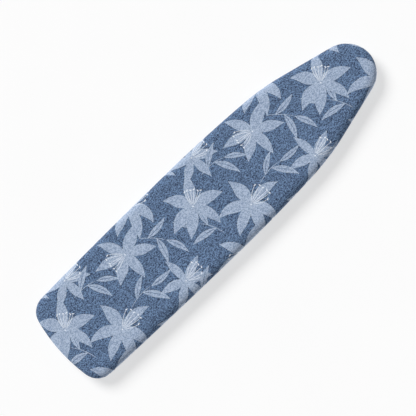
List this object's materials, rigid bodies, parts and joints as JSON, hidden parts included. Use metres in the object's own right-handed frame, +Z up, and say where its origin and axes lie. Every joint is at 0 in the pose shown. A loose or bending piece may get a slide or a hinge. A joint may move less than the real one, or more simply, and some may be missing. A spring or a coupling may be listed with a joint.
{
  "type": "ironing board",
  "caption": "Full-size folding ironing board with a printed fabric cover, tapered round nose, mesh steel deck and scissor legs that fold flat underneath.",
  "frame": {"origin": "middle of the footprint, on the floor that the folded board lies on", "axes": "+X along the board to the nose, +Y across to the left side, +Z up out of the ironing surface"},
  "size_m": [1.372, 0.356, 0.0592],
  "materials": {
    "print_cloth": "matte",
    "elastic_cord": "matte",
    "felt": "matte",
    "deck_paint": "satin",
    "leg_paint": "satin",
    "bright_steel": "satin",
    "zinc_steel": "satin",
    "spring_steel": "satin",
    "cap_plastic": "matte",
    "block_plastic": "matte",
    "nylon": "matte",
    "grip_plastic": "satin"
  },
  "bodies": {
    "board": {"cover": "print_cloth", "hem_elastic": "elastic_cord", "pad": "felt", "deck_mesh": "deck_paint", "deck_frame": "deck_paint", "cross_bar_tail": "deck_paint", "cross_bar_hinge": "deck_paint", "cross_bar_rear": "deck_paint", "cross_bar_guide": "deck_paint", "cross_bar_front": "deck_paint", "cross_bar_nose": "deck_paint", "hinge_bracket_left": "deck_paint", "hinge_bracket_right": "deck_paint", "hinge_pin_left": "zinc_steel", "hinge_pin_right": "zinc_steel", "guide_rod": "bright_steel", "guide_bracket_rear": "deck_paint", "guide_bracket_front": "deck_paint", "bracket_rivets": "zinc_steel", "leg_clip": "spring_steel"},
    "outer_leg": {"outer_tube_left": "leg_paint", "outer_tube_right": "leg_paint", "outer_foot_bar": "leg_paint", "outer_foot_caps": "cap_plastic", "outer_tube_plugs": "cap_plastic", "pivot_bolt": "zinc_steel", "pivot_nut": "zinc_steel", "pivot_washers": "nylon"},
    "inner_leg": {"inner_tube_left": "leg_paint", "inner_tube_right": "leg_paint", "inner_foot_bar": "leg_paint", "inner_foot_caps": "cap_plastic", "inner_tube_plugs": "cap_plastic", "pivot_bush": "nylon", "inner_leg_ties": "leg_paint"},
    "carriage": {"carriage_block": "block_plastic", "carriage_pin": "zinc_steel", "lever_pin": "zinc_steel", "jam_spring": "spring_steel"},
    "release_lever": {"jam_plate": "spring_steel", "release_wire": "bright_steel", "release_grip": "grip_plastic"}
  },
  "joints": [
    {"name": "leg_fold", "type": "hinge", "parent": "board", "child": "outer_leg", "pos_m": [-0.48, 0, 0.015], "axis": [0, 1, 0], "range_deg": [0, 55]},
    {"name": "scissor_pivot", "type": "hinge", "parent": "outer_leg", "child": "inner_leg", "pos_m": [-0.03, 0, 0.015], "axis": [0, 1, 0], "range_deg": [-110, 0]},
    {"name": "carriage_pivot", "type": "hinge", "parent": "inner_leg", "child": "carriage", "pos_m": [0.42, 0, 0.015], "axis": [0, 1, 0], "range_deg": [0, 55]},
    {"name": "release", "type": "hinge", "parent": "carriage", "child": "release_lever", "pos_m": [0.456, 0, 0.02], "axis": [0, 1, 0], "range_deg": [0, 6], "stiffness_Nm_per_rad": 2, "springref_deg": -2.86}
  ],
  "couplings": [
    {"joint": "scissor_pivot", "follows": "leg_fold", "ratio": -2},
    {"joint": "carriage_pivot", "follows": "leg_fold", "ratio": 1}
  ]
}
